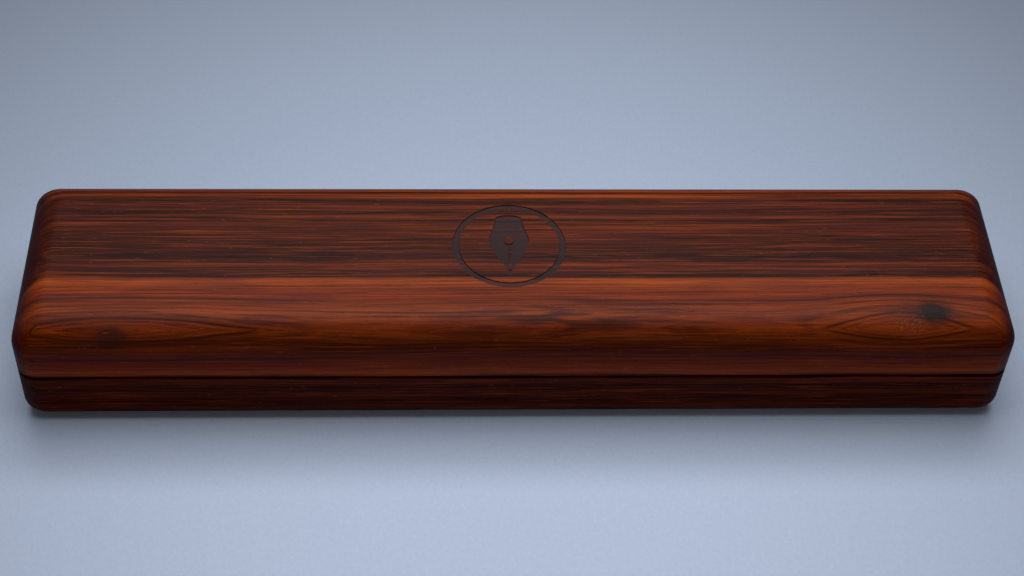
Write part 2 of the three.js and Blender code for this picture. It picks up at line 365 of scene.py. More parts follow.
# %% Hand a piece to the frame
def finished(piece, body, material, stands_for):
    piece.data.materials.clear()
    piece.data.materials.append(material)
    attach(piece, body)
    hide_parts(*stands_for)
    print(piece.name, "rides on", body, "with", len(piece.data.polygons), "faces")
    return piece


def new_piece(name, mesh):
    piece = bpy.data.objects.new(name, mesh)
    bpy.context.collection.objects.link(piece)
    return piece


def smooth_to(mesh, degrees):
    """Smooth shading, with an edge kept sharp where its faces turn by more than that."""
    mesh.shade_smooth()
    mesh.set_sharp_from_angle(angle=math.radians(degrees))


# %% [markdown]
# ## Geometry trees with named inputs
# A Geometry Nodes tree is a recipe: its inputs are the sizes, and its result is a mesh. The
# helper makes the tree with its inputs, gives each input its value by the socket's identifier,
# and takes the finished mesh out, so that no modifier is left on the piece.


# %% Run a geometry tree
class Recipe(Tree):
    """A geometry tree with named inputs."""

    def __init__(self, name, **inputs):
        group = bpy.data.node_groups.new(name, "GeometryNodeTree")
        super().__init__(group)
        group.interface.new_socket("Geometry", in_out="INPUT", socket_type="NodeSocketGeometry")
        group.interface.new_socket("Geometry", in_out="OUTPUT", socket_type="NodeSocketGeometry")
        self.values = {}
        for title, value in inputs.items():
            kind = "NodeSocketInt" if isinstance(value, int) else "NodeSocketFloat"
            made = group.interface.new_socket(title, in_out="INPUT", socket_type=kind)
            self.values[made.identifier] = value
        self.inputs = self.tree.nodes.new("NodeGroupInput")

    def __getitem__(self, title):
        return Socket(self, self.inputs.outputs[title])

    def ends(self, geometry, material):
        """Ends the tree: what is instanced is made real, and gets its material."""
        real = self.add("GeometryNodeRealizeInstances", None, {0: geometry})
        painted = self.add("GeometryNodeSetMaterial", None, {0: real, "Material": material})
        output = self.tree.nodes.new("NodeGroupOutput")
        self.tree.links.new(painted.output, output.inputs[0])

    def mesh(self, name, points=()):
        """The mesh that the tree makes on these points."""
        start = bpy.data.meshes.new(name)
        start.from_pydata(points, [], [])
        carrier = new_piece(name, start)
        modifier = carrier.modifiers.new(name, "NODES")
        modifier.node_group = self.tree
        for identifier, value in self.values.items():
            modifier[identifier] = value
        ready = carrier.evaluated_get(bpy.context.evaluated_depsgraph_get())
        made = bpy.data.meshes.new_from_object(ready)
        bpy.data.objects.remove(carrier)
        made.name = name
        return made


def tidy(mesh, gap=0.002 * MM):
    """Merges doubled points and turns the faces outwards."""
    shape = bmesh.new()
    shape.from_mesh(mesh)
    bmesh.ops.remove_doubles(shape, verts=shape.verts, dist=gap)
    bmesh.ops.recalc_face_normals(shape, faces=shape.faces)
    shape.to_mesh(mesh)
    shape.free()
    return mesh

# %% [markdown]
# ## The wood
# Rosewood is sawn from a log whose growth rings are dark and light in turn. In this case the rings
# run at nearly 45 degrees through each half: they cut the top and the front as straight, close
# lines, and lie flat under the front roundover, which shows the wide flame of flat-sawn wood. The
# pattern is therefore solid: every point has a depth in the log, and a ramp gives that depth its
# colour. Where a branch grew, the rings bulge, and the same ramp then draws an eye around the knot.
# A picture of wood wrapped round the case would break at every edge, and this doesn't.

# %% Name the tones of the wood and the rings of each board
GLOW = (0.310, 0.0540, 0.0088)
ORANGE = (0.205, 0.0340, 0.0058)
CRIMSON = (0.172, 0.0235, 0.0045)
RED = (0.160, 0.0250, 0.0045)
RUSSET = (0.115, 0.0177, 0.0035)
BROWN = (0.076, 0.0117, 0.0029)
DEEP = (0.046, 0.0073, 0.0025)
INK = (0.022, 0.0044, 0.0022)
COAL = (0.010, 0.0028, 0.0026)
# A warm dark tone, used only for the painted shade on the lower roundover of the lid.
PAINTED_SHADE_TONE = (0.022, 0.0032, 0.0008)
UMBER = (0.052, 0.0095, 0.0028)
DARK_UMBER = (0.032, 0.0065, 0.0024)
SOOT = (0.016, 0.0040, 0.0020)

# Depths are millimetres along the top, from the front (negative) to the back of the lid.
LID_RINGS = [
    (-20.5, RED), (-18.3, RED), (-17.4, RUSSET),
    (-16.9, RUSSET), (-16.4, ORANGE), (-14.6, RED), (-13.8, RED), (-12.9, RUSSET), (-12.4, CRIMSON),
    (-10.4, CRIMSON), (-9.5, ORANGE), (-8.9, ORANGE), (-8.1, GLOW), (-7.1, ORANGE), (-6.7, COAL),
    (-5.6, DEEP), (-4.1, BROWN), (-3.5, RED), (-2.9, DEEP), (-1.3, COAL), (-0.2, DEEP), (1.5, DEEP),
    (4.6, BROWN), (7.3, RUSSET), (8.4, COAL), (9.2, RED), (10.3, COAL), (12.1, RUSSET), (13.6, COAL),
    (15.4, GLOW), (16.6, COAL),
]
BASE_RINGS = [
    (-20.0, DARK_UMBER), (-18.0, UMBER), (-16.5, DARK_UMBER), (-15.2, UMBER), (-14.0, SOOT),
    (-12.5, DARK_UMBER), (-11.2, UMBER), (-10.0, SOOT), (-8.4, DARK_UMBER), (-7.0, UMBER),
    (-6.0, SOOT), (-4.0, DARK_UMBER), (-2.0, UMBER), (0.0, SOOT), (3.0, UMBER), (5.0, DARK_UMBER),
    (8.0, SOOT), (11.0, UMBER), (16.0, DARK_UMBER),
]
# A run of dark streaks along the roundover: its middle, and half its length and width.
BLOTCH = ((9.0, -16.2, 24.9), 25.0, 2.4)
# Each knot: its middle; half the length and width of its eye; how far it parts the rings; the
# radius and darkness of its heart, and that heart's own middle.
KNOTS = [
    ((72.0, -17.2, 24.6), (12.3, 5.2), 1.48, (2.3, 1.0), (78.6, -15.6, 25.4)),
    ((-74.0, -18.2, 23.8), (21.0, 5.0), 1.30, (2.0, 0.55), (-76.0, -19.3, 23.0)),
]


# %% [markdown]
# ## The depth of a point in the log
# The depth grows towards the back and downwards, along a line that crosses the rings. Slow noise
# bends the rings and fast noise makes them tremble. Near a knot the depth is pushed towards the
# flattest ring, and that lifts the ring lines out of the way, as real fibres part round a branch.
# The push works on the square root of the height above that ring, which gives the eye its corners.

# %% Find the depth of every point
RING_SLOPE = 1.11
FLATTEST_RING = -16.8
EYE_STEEPNESS = 2.4
FLAME_REACH = 1.7
# Dark rings inside an eye: how far in, how wide, how dark.
EYE_LINES = [(0.28, 0.10, 0.85), (0.62, 0.06, 0.5), (0.95, 0.05, 0.35)]


def bump_at(finish, place, middle, half_length, half_width):
    """1 at a place, falling smoothly to 0 around it."""
    px, py, pz = finish.parts(place)
    along = (px - middle[0]) / half_length
    across = (py - middle[1]) / half_width
    down = (pz - middle[2]) / half_width
    return finish.maths("EXPONENT", -(along * along + across * across + down * down))


def ring_depth(finish, place, top, start, knots):
    """The depth in the log, how far the knots leave the rings calm, and the lines in the eyes."""
    _, y, z = finish.parts(place)
    depth = y + (top / MM - z) * RING_SLOPE + start
    calm = 1.0
    eye_lines = 0.0
    wobble = finish.noise(finish.place((0.06, 0.5, 0.5)), 1.0, 3)
    for middle, size, lift, _, _ in knots:
        eye = bump_at(finish, place, middle, *size)
        above = finish.maths("SQRT", finish.maths("MAXIMUM", depth - FLATTEST_RING, 0.0)) - eye * lift
        for level, width, darkness in EYE_LINES:
            off = (above + (wobble - 0.5) * 0.3 + level) / width
            line = finish.maths("EXPONENT", -(off * off)) * darkness
            eye_lines = finish.maths("MAXIMUM", line * finish.smooth(eye, 0.14, 0.34), eye_lines)
        outside = finish.maths("MAXIMUM", above, 0.0)
        inside = finish.maths("MINIMUM", above, 0.0)
        depth = outside * outside + inside * EYE_STEEPNESS + FLATTEST_RING
        calm = (1.0 - eye) * calm
    slow = finish.noise(finish.place((0.012, 0.03, 0.03)), 1.0, 1)
    flame = finish.noise(finish.place((0.022, 0.10, 0.10)), 1.0, 2)
    wander = finish.noise(finish.place((0.03, 0.25, 0.25)), 1.0, 3)
    tremble = finish.noise(finish.place((0.05, 1.1, 1.1)), 1.0, 2)
    front = finish.smooth(y, -18.5, -12.0, 1.0, 0.0)
    depth = depth + (slow - 0.5) * 1.6 + (wander - 0.5) * 0.7 + (tremble - 0.5) * 0.3
    depth = depth + (flame - 0.5) * (front * FLAME_REACH) * calm
    return depth, calm, eye_lines


# %% [markdown]
# ## The colour of the rings
# A colour ramp turns the depth into the tones of the rings. Painted shade is then mixed into that colour:
# behind its bright band the wood darkens towards its ends, where the light falls off, and the lower half
# of the lid's roundover, which turns away from the lamp, is darker too. Two smooth masks say where that
# is, and the steps that follow use them too.

# %% Colour the rings
BRIGHT_BAND_EDGE = (-7.6, -6.6)
# Painted shade towards the ends of the board: its middle along the length, the span over which it sets
# in, and how dark it gets.
END_SHADE_MIDDLE = 12
END_SHADE_SPAN = (10, 105)
END_PAINTED_SHADE = 0.58
# Painted shade on the lid's lower roundover: the heights over which it sets in, and over which it eases
# off down the front face.
ROUNDOVER_SPAN = (21.8, 24.9)
SHADE_EASING_SPAN = (15.0, 22.0)


def spread(rings):
    """The rings as stops of a ramp, with their first and last depth."""
    first, last = rings[0][0], rings[-1][0]
    return [((depth - first) / (last - first), tone) for depth, tone in rings], first, last


def ringed(finish, place, depth, calm, rings, shaded):
    """The colour of the rings, with painted shade towards the ends and on the lower roundover, and the
    masks of what lies behind the bright band, and low.
    """
    x, _, z = finish.parts(place)
    stops, first, last = spread(rings)
    share = finish.maths("PINGPONG", (depth - first) / (last - first), 1.0)
    colour = finish.add("ShaderNodeValToRGB", {"stops": stops}, {"Fac": share})
    behind = finish.smooth(depth, *BRIGHT_BAND_EDGE)
    # Painted shade: behind the bright band the wood darkens towards both ends of the board, where the
    # light falls off.
    painted_end_shade = finish.smooth(abs(x - END_SHADE_MIDDLE), *END_SHADE_SPAN) * behind
    colour = finish.mixed(painted_end_shade * END_PAINTED_SHADE, colour, (*INK, 1))
    # Painted shade: the lower half of the lid's roundover is darkened towards a warm dark tone, less near
    # the knots, and eased off again lower down the front face.
    low = finish.smooth(z, *ROUNDOVER_SPAN, 1.0, 0.0)
    if shaded:
        shade_eased = finish.smooth(z, *SHADE_EASING_SPAN, 1.0, 0.0) * (calm * 0.43)
        colour = finish.mixed(low * (0.44 + calm * 0.34) - shade_eased, colour, (*PAINTED_SHADE_TONE, 1))
    return colour, behind, low


# %% [markdown]
# ## From rings to a finish
# On top of the ring colours come the things that make wood read as wood: hair-fine darker lines that
# follow the rings, short fibres, slow patches of duller colour, open pores drawn out along the grain, and
# end grain that drinks more oil and goes dark. The end grain's colour also holds a painted bluish
# reflection, as a satin film shows at a glancing angle. The oil film is satin, and the pores break it.
# All of it is noise in object space, stretched along the length of the board.

# %% Make the rosewood
WOOD_SHEEN = 0.12
DULL = (0.060, 0.0105, 0.0095)
END_GRAIN_AND_SHEEN = (0.022, 0.0085, 0.0110)
PORE = (0.012, 0.004, 0.003)
FLECK = (0.42, 0.13, 0.050)
# How much of each feature shows.
SHARES = {"bright fibre": 0.30, "dark fibre": 0.45, "dull": 0.35, "end": 0.68, "pore": 0.5, "fleck": 0.4}


def rosewood(name, rings, top, knots=(), start=0.0, emblem=None):
    finish = Finish(name, IOR=1.45, Specular_IOR_Level=WOOD_SHEEN)
    place = finish.place()
    x, y, _ = finish.parts(place)
    depth, calm, eye_lines = ring_depth(finish, place, top, start, knots)
    colour, behind, low = ringed(finish, place, depth, calm, rings, bool(knots))

    # Hair lines lie in the rings, so they are noise along the depth. They fade on end grain.
    hair = finish.noise(finish.vector(x * 0.010, depth, y * 0.02), 2.6, 4, 0.70)
    nx, _, _ = finish.parts(finish.normal())
    end = finish.smooth(abs(nx), 0.06, 0.7)
    fine = 1.0 - finish.smooth(abs(nx), 0.1, 0.45) * 0.75
    hair_dark = finish.smooth(hair, 0.40, 0.54, 1.0, 0.0) * fine
    hair_light = finish.smooth(hair, 0.54, 0.64) * fine
    contrast = 1.0 - low * 0.35
    colour = finish.mixed(hair_dark * (behind * 0.17 + 0.58) * contrast, colour, (*COAL, 1))
    colour = finish.mixed(hair_light * (behind * 0.14 + 0.40) * contrast, colour, (*ORANGE, 1))

    # Fibres are shorter.
    fibre = finish.noise(finish.place((0.06, 2.8, 2.8)), 1.0, 4, 0.68)
    bright = finish.smooth(fibre, 0.50, 0.72) * SHARES["bright fibre"]
    dark = finish.smooth(fibre, 0.30, 0.50, 1.0, 0.0) * SHARES["dark fibre"]
    colour = finish.mixed(bright, colour, (*GLOW, 1))
    colour = finish.mixed(dark, colour, (*INK, 1))
    patch = finish.noise(finish.place((0.05, 0.3, 0.3)), 1.0, 3)
    dull = finish.smooth(patch, 0.45, 0.7) * (1.0 - low * 0.9)
    colour = finish.mixed(dull * SHARES["dull"], colour, (*DULL, 1))
    if knots:
        colour = finish.mixed(eye_lines * fine, colour, (*INK, 1))
        colour = knotted(finish, place, colour, depth, knots)
    # End grain is darker wood; the bluish tint of its colour is a painted reflection of the satin film.
    colour = finish.mixed(end * SHARES["end"], colour, (*END_GRAIN_AND_SHEEN, 1))

    # Pores are short dark dashes along the grain, and a few hold a bright fleck.
    pores = finish.noise(finish.place((0.5, 7.0, 7.0)), 1.0, 2)
    pore = finish.smooth(pores, 0.64, 0.74)
    fleck = finish.smooth(pores, 0.24, 0.29, 1.0, 0.0)
    colour = finish.mixed(pore * SHARES["pore"], colour, (*PORE, 1))
    colour = finish.mixed(fleck * SHARES["fleck"], colour, (*FLECK, 1))
    rough = 0.42 + fibre * 0.12 + pore * 0.2 + end * 0.1
    height = 0.6 - pore * 0.5 + fibre * 0.3 - hair_dark * 0.1
    if emblem:
        colour, rough, height = burned(finish, place, colour, rough, height, emblem)
    finish.sends(Base_Color=colour, Roughness=rough)
    finish.bumps(height, 0.035, 0.6)
    return finish.material


# %% [markdown]
# ## Knots and the scorched mark
# A knot's heart is nearly black, with a stained ring above it, and wear leaves a few pale scratches
# below it. Burned wood is a scorched, matt brown, with soot that lies unevenly. Each is a mask and
# a mixed colour. The masks are places in space, so that they stay put when the lid turns.


# %% Stain the knots and scorch the mark
KNOT_STAIN = (0.030, 0.0080, 0.0085)
KNOT_HEART = (0.008, 0.0085, 0.0075)
BLOTCH_STAIN = (0.022, 0.0055, 0.0050)
SCRATCH = (0.42, 0.17, 0.075)
SCORCH = (0.030, 0.024, 0.027)
STAINED_RING = -13.0


def knotted(finish, place, colour, depth, knots):
    """Dark hearts of the knots, the stained ring above them, and pale rubbed marks below them."""
    x, y, z = finish.parts(place)
    streaks = finish.noise(finish.place((0.09, 0.9, 0.9)), 1.0, 3)
    blotch = bump_at(finish, place, *BLOTCH) * finish.smooth(streaks, 0.42, 0.62)
    colour = finish.mixed(blotch * 0.85, colour, (*BLOTCH_STAIN, 1))
    off = (depth - STAINED_RING) / 0.5
    ring = finish.maths("EXPONENT", -(off * off)) * finish.smooth(abs(x), 25, 62)
    colour = finish.mixed(ring * 0.75, colour, (*KNOT_STAIN, 1))
    ragged = finish.noise(finish.place((0.35, 0.8, 0.8)), 1.0, 3)
    slanted = finish.vector(x * 0.35, y * 3.2 - x * 1.3, z * 3.2)
    scratch = finish.smooth(finish.noise(slanted, 1.6, 1), 0.58, 0.68)
    for _, _, _, (heart, darkness), at in knots:
        spot = bump_at(finish, place, at, heart * 1.6, heart * 1.1)
        heart_share = finish.smooth(spot + (ragged - 0.5) * 0.5, 0.12, 0.8) * darkness
        colour = finish.mixed(heart_share, colour, (*KNOT_HEART, 1))
        beside = (at[0] - heart * 1.6, at[1], at[2])
        halo = bump_at(finish, place, beside, heart * 2.6, heart * 1.7)
        colour = finish.mixed(halo * ragged * 0.9 * darkness, colour, (*KNOT_STAIN, 1))
        below = (at[0] - 4.5, at[1] - 2.4, at[2] - 1.2)
        rubbed = finish.smooth(bump_at(finish, place, below, 3.6, 1.7), 0.2, 0.8)
        colour = finish.mixed(scratch * rubbed * 0.30, colour, (*SCRATCH, 1))
    return colour


def burned(finish, place, colour, rough, height, emblem):
    """Wood below the face, near the emblem's middle, is scorched and matt."""
    (middle_x, middle_y), reach, face, floor = emblem
    x, y, z = finish.parts(place)
    away_x = x - middle_x
    away_y = y - middle_y
    away = finish.maths("SQRT", away_x * away_x + away_y * away_y)
    near = finish.smooth(away, reach, reach + 0.4, 1, 0)
    # The mask ends a little under the floor of the mark, so that nothing deeper is scorched.
    mark = finish.smooth(z, floor, face, 1, 0) * finish.smooth(z, floor - 1.0, floor - 0.5) * near
    soot = finish.noise(place, 3.2, 3)
    scorched = finish.mixed(0.62 + soot * 0.3, colour, (*SCORCH, 1))
    colour = finish.mixed(mark, colour, scorched)
    return colour, rough + mark * 0.35, height + mark * (soot - 0.5) * 0.8


# %% [markdown]
# ## The outside of each half
# Each half starts as a block with rounded upright corners, its far edges run round with a
# quarter-round cutter and its rim sanded a little. That is a rule: one outline in plan, drawn in by
# the cutter's quarter circle as it climbs. The geometry tree bends a flat grid to that rule, so the
# outline, the roundover and the sanded rim are inputs with names. A subdivided cube would be
# quicker, but its corners would not have these radii.

# %% Write the recipe of a rounded half
CORNER_STEPS = 14
EASE_STEPS = 3
ROUND_STEPS = 24
UPRIGHT_CORNER = 3.8 * MM
CORNER_TIGHTENING = 0.25
RIM_EASE = 0.4 * MM


def unit_grid(recipe, around, levels):
    """A flat grid with steps of 1, and the two places of each of its points."""
    sockets = {
        "Size X": around - 1.0,
        "Size Y": levels - 1.0,
        "Vertices X": around,
        "Vertices Y": levels,
    }
    grid = recipe.add("GeometryNodeMeshGrid", None, sockets)
    grid_x, grid_y, _ = recipe.parts(recipe.add("GeometryNodeInputPosition"))
    return grid, grid_x, grid_y


def quarter_turn(recipe, level, first, last):
    """An angle that goes evenly from 0 to a right angle between two levels."""
    values = (level, first, last, 0.0, math.pi / 2)
    return recipe.add("ShaderNodeMapRange", None, dict(enumerate(values)))


def rounded_half_recipe(edge_round, height, material):
    recipe = Recipe(
        "rounded half",
        Length=LENGTH,
        Width=WIDTH,
        Height=height,
        Corner=UPRIGHT_CORNER,
        Tightening=CORNER_TIGHTENING,
        Edge=edge_round,
        Ease=RIM_EASE,
    )
    levels = EASE_STEPS + ROUND_STEPS + 4
    around = 4 * (CORNER_STEPS + 1) + 1
    grid, grid_x, grid_y = unit_grid(recipe, around, levels)
    step = recipe.maths("MODULO", recipe.maths("ROUND", grid_x + (around - 1) / 2), around - 1)
    level = recipe.maths("ROUND", grid_y + (levels - 1) / 2)

    # How far the outline is drawn in, and how high it is, at each level.
    last_round = levels - 2.0
    ease_turn = quarter_turn(recipe, level, 1.0, 1.0 + EASE_STEPS)
    round_turn = quarter_turn(recipe, level, last_round - ROUND_STEPS, last_round)
    eased = recipe["Ease"] * (1 - recipe.maths("SINE", ease_turn))
    drawn_in = eased + recipe["Edge"] * (1 - recipe.maths("COSINE", round_turn))
    low = recipe["Ease"] * (1 - recipe.maths("COSINE", ease_turn))
    high = recipe["Height"] - recipe["Edge"] * (1 - recipe.maths("SINE", round_turn))
    upper = recipe.maths("GREATER_THAN", level, EASE_STEPS + 1.5)
    z = low * (1 - upper) + high * upper

    # The outline goes round four quarter circles, and straight between them.
    corner = recipe.maths("FLOOR", step / (CORNER_STEPS + 1) + 0.001)
    within = (step - corner * (CORNER_STEPS + 1)) / CORNER_STEPS
    heading = (corner + within) * (math.pi / 2)
    diagonal = (corner + 0.5) * (math.pi / 2)
    radius = recipe["Corner"] - drawn_in * recipe["Tightening"]
    side_x = recipe.maths("SIGN", recipe.maths("COSINE", diagonal))
    side_y = recipe.maths("SIGN", recipe.maths("SINE", diagonal))
    x = side_x * (recipe["Length"] / 2 - drawn_in - radius) + radius * recipe.maths("COSINE", heading)
    y = side_y * (recipe["Width"] / 2 - drawn_in - radius) + radius * recipe.maths("SINE", heading)

    # The first and last level close the block on a line along its middle.
    first_level = recipe.maths("LESS_THAN", level, 0.5)
    last_level = recipe.maths("GREATER_THAN", level, levels - 1.5)
    closing = first_level + last_level
    reach = (recipe["Length"] - recipe["Width"]) / 2
    on_line = recipe.maths("MINIMUM", recipe.maths("MAXIMUM", x, -reach), reach)
    x = x * (1 - closing) + on_line * closing
    y = y * (1 - closing)
    bent = recipe.add("GeometryNodeSetPosition", None, {0: grid, "Position": recipe.vector(x, y, z)})
    closed = recipe.add("GeometryNodeMergeByDistance", None, {0: bent, "Distance": 0.0005 * MM})
    recipe.ends(closed, material)
    return recipe


# %% [markdown]
# ## What the router and the drill take away
# The inside is cut: a recess with round corners and a small fillet at its floor, hinge mortises,
# screw and magnet holes, and a bevel along the back of each rim, which makes room for the hinge
# barrels and stops the open lid. Each cutter is a closed skin through a few outlines, and one
# Boolean modifier takes them all away. Modelling such a pocket by hand in a roundover would leave
# ripples, and an exact cut doesn't.


# %% Make the cutters
def outline(length, width, radius, middle=(0, 0), steps=10):
    """A rectangle with round corners, as points."""
    points = []
    for corner in range(4):
        diagonal = (corner + 0.5) * math.pi / 2
        cx = middle[0] + math.copysign(length / 2 - radius, math.cos(diagonal))
        cy = middle[1] + math.copysign(width / 2 - radius, math.sin(diagonal))
        for step in range(steps + 1):
            heading = (corner + step / steps) * math.pi / 2
            points.append((cx + radius * math.cos(heading), cy + radius * math.sin(heading)))
    return points


def circle(radius, middle=(0, 0), steps=32):
    turns = [2 * math.pi * step / steps for step in range(steps)]
    return [(middle[0] + radius * math.cos(t), middle[1] + radius * math.sin(t)) for t in turns]


def skin(name, levels):
    """A closed mesh through outlines at several heights: [(z, points), ...]."""
    count = len(levels[0][1])
    vertices = [(x, y, z) for z, points in levels for x, y in points]
    faces = [tuple(reversed(range(count)))]
    for level in range(len(levels) - 1):
        for one in range(count):
            two = (one + 1) % count
            low, high = level * count, (level + 1) * count
            faces.append((low + one, low + two, high + two, high + one))
    faces.append(tuple(range((len(levels) - 1) * count, len(levels) * count)))
    mesh = bpy.data.meshes.new(name)
    mesh.from_pydata(vertices, [], faces)
    return tidy(mesh)


def tube_cutter(name, radius, x0, x1, y, z, steps=32):
    """A rod along X."""
    rod = skin(name, [(x0, circle(radius, steps=steps)), (x1, circle(radius, steps=steps))])
    rod.transform(Matrix.Translation((0, y, z)) @ Matrix.Rotation(math.pi / 2, 4, "Y"))
    return tidy(rod)


def carve(mesh, cutters, operation="DIFFERENCE"):
    """Cuts closed meshes out of a mesh, or welds them to it, and returns the result."""
    carrier = new_piece("carved", mesh)
    group = bpy.data.collections.new("cutters")
    for cutter in cutters:
        group.objects.link(bpy.data.objects.new("cutter", cutter))
    modifier = carrier.modifiers.new("cut", "BOOLEAN")
    modifier.operation = operation
    modifier.solver = "EXACT"
    modifier.operand_type = "COLLECTION"
    modifier.collection = group
    bpy.context.view_layer.update()
    ready = carrier.evaluated_get(bpy.context.evaluated_depsgraph_get())
    made = bpy.data.meshes.new_from_object(ready)
    for cutter in list(group.objects):
        bpy.data.objects.remove(cutter)
    bpy.data.collections.remove(group)
    bpy.data.objects.remove(carrier)
    return tidy(made)


# %% [markdown]
# ## The recess, the mortises and the holes
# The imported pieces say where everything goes: the recess is the liner board plus its clearance, a
# mortise is its hinge leaf plus a hair, and a pocket is its magnet plus a hair. The heights are
# measured from the rim into the wood, so one function serves the base and the lid.

# %% Place the cutters in each rim
RECESS_GAP = 0.3 * MM
RECESS_CORNER = 6 * MM
FLOOR_FILLET = 0.5 * MM
MOUTH_EASE = 0.45 * MM
HAIR = 0.2 * MM
PAST = 2 * MM
BEVEL_ANGLE = math.radians(51)
BEVEL_REACH = 8 * MM
BEVEL_SETBACK = 0.25 * MM
BARREL_RADIUS = 1.7 * MM
LEAF_THICKNESS = 0.9 * MM
PILOT_RADIUS = 0.75 * MM


def quarter(steps):
    """Angles from 0 to a right angle."""
    return [step / steps * math.pi / 2 for step in range(steps + 1)]


def recess_cutter(rim, floor, side):
    low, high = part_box("base_board")
    length = high.x - low.x + 2 * RECESS_GAP
    width = high.y - low.y + 2 * RECESS_GAP
    middle = (0, (low.y + high.y) / 2)
    levels = []
    for turn in quarter(4):
        shrink = FLOOR_FILLET * (1 - math.sin(turn))
        levels.append((floor + side * FLOOR_FILLET * (1 - math.cos(turn)), -shrink))
    for turn in quarter(4):
        grow = MOUTH_EASE * (1 - math.cos(turn))
        levels.append((rim - side * MOUTH_EASE * (1 - math.sin(turn)), grow))
    levels.append((rim + side * PAST, MOUTH_EASE))
    rings = []
    for z, grow in levels:
        ring = outline(length + 2 * grow, width + 2 * grow, RECESS_CORNER + grow, middle)
        rings.append((z, ring))
    return skin("recess", rings)


def block_cutter(name, x0, x1, y0, y1, z0, z1):
    points = [(x0, y0), (x1, y0), (x1, y1), (x0, y1)]
    return skin(name, [(z0, points), (z1, points)])


def bevel_cutter():
    """The wedge that opens the back of both rims."""
    rise = BEVEL_REACH * math.tan(BEVEL_ANGLE)
    start = PIN_Y - BEVEL_SETBACK
    end = start + BEVEL_REACH
    half = LENGTH / 2 + PAST
    corners = [(start, SEAM), (end, SEAM - rise), (end, SEAM + rise)]
    vertices = [(x, y, z) for x in (-half, half) for y, z in corners]
    mesh = bpy.data.meshes.new("bevel")
    mesh.from_pydata(vertices, [], [(0, 1, 2), (3, 5, 4), (0, 3, 4, 1), (1, 4, 5, 2), (2, 5, 3, 0)])
    return tidy(mesh)


def drilled(node, radius, rim, into, deeper, past=0.0):
    """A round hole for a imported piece, that much deeper than the piece and open at the rim."""
    _, half_height = half_sizes(node)
    depths = sorted((rim + into * (2 * half_height + deeper), rim - into * past))
    hole = circle(radius + HAIR, plan_middle(node))
    return skin("hole", [(z, hole) for z in depths])


def rim_cutters(half, rim, into):
    """Everything but the recess. into is -1 where the wood is below the rim, and 1 above."""
    cutters = [bevel_cutter()]
    for side in ("left", "right"):
        hinge = f"hinge_{side}_{half}"
        low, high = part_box(f"{hinge}_leaf")
        x0, x1 = low.x - 1.5 * HAIR, high.x + 1.5 * HAIR
        depths = sorted((rim + into * (LEAF_THICKNESS + HAIR), rim - into * PAST))
        cutters.append(block_cutter("mortise", x0, x1, low.y - HAIR, PIN_Y, *depths))
        room = BARREL_RADIUS + 1.5 * HAIR
        cutters.append(tube_cutter("barrel", room, x0 - HAIR, x1 + HAIR, PIN_Y, SEAM))
        for number in (1, 2):
            cutters.append(drilled(f"{hinge}_screw_{number}", PILOT_RADIUS, rim, into, HAIR))
        magnet = f"magnet_{side}_{half}"
        magnet_radius, _ = half_sizes(magnet)
        cutters.append(drilled(magnet, magnet_radius, rim, into, 2 * HAIR, PAST))
    return cutters


# %% [markdown]
# ## The burned emblem
# A small mark sits in the middle of the lid. Here it is a plain pen nib in a ring, burned a few
# tenths of a millimetre into the face. A flat curve with holes gives crisp edges, and its
# extrusion is one more cutter. The wood's own material then scorches whatever lies below the face.

# %% Draw the nib in its ring
EMBLEM_MIDDLE = Vector((-1.4, 1.6)) * MM
EMBLEM_RADIUS = 11 * MM
EMBLEM_RING = 1.25 * MM
EMBLEM_DEPTH = 0.22 * MM
# The nib's right side from the heel to the tip, in millimetres: each point with the two handles
# that bend the curve before and after it.
NIB_SIDE = [
    ((0.0, 8.1), (-1.2, 8.1), (1.2, 8.1)),
    ((2.5, 7.4), (2.2, 7.9), (2.5, 6.0)),
    ((3.9, 1.6), (3.5, 3.6), (4.0, 0.6)),
    ((2.0, -3.6), (3.1, -1.8), (1.1, -5.0)),
    ((0.0, -8.3), (0.35, -6.9), (-0.35, -6.9)),
]
BREATHER_RADIUS = 0.95
BREATHER_Y = 1.3
SLIT_HALF_WIDTH = 0.16
SLIT_ENDS = (0.1, -6.4)
# Handles this long, for a radius of 1, turn four Bezier curves into a circle.
CIRCLE_HANDLE = 0.5523


